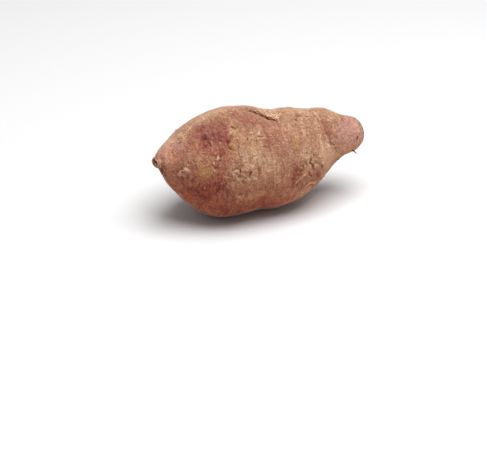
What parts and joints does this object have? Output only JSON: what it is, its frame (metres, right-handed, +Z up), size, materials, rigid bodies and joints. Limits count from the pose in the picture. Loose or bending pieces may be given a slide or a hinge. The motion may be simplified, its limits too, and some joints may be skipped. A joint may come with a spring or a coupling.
{
  "type": "sweet potato",
  "caption": "Raw red-skinned sweet potato: a swollen tuber with a thin scarred tail and a blunt neck, lying on a small flat spot.",
  "frame": {"origin": "on the surface the tuber lies on, under the middle of its box", "axes": "+X along the tuber from the tail scar to the blunt neck end, +Z up"},
  "size_m": [0.1632, 0.076, 0.078],
  "materials": {
    "skin": "matte"
  },
  "bodies": {
    "root": {"sweet_potato": "skin"}
  },
  "joints": []
}
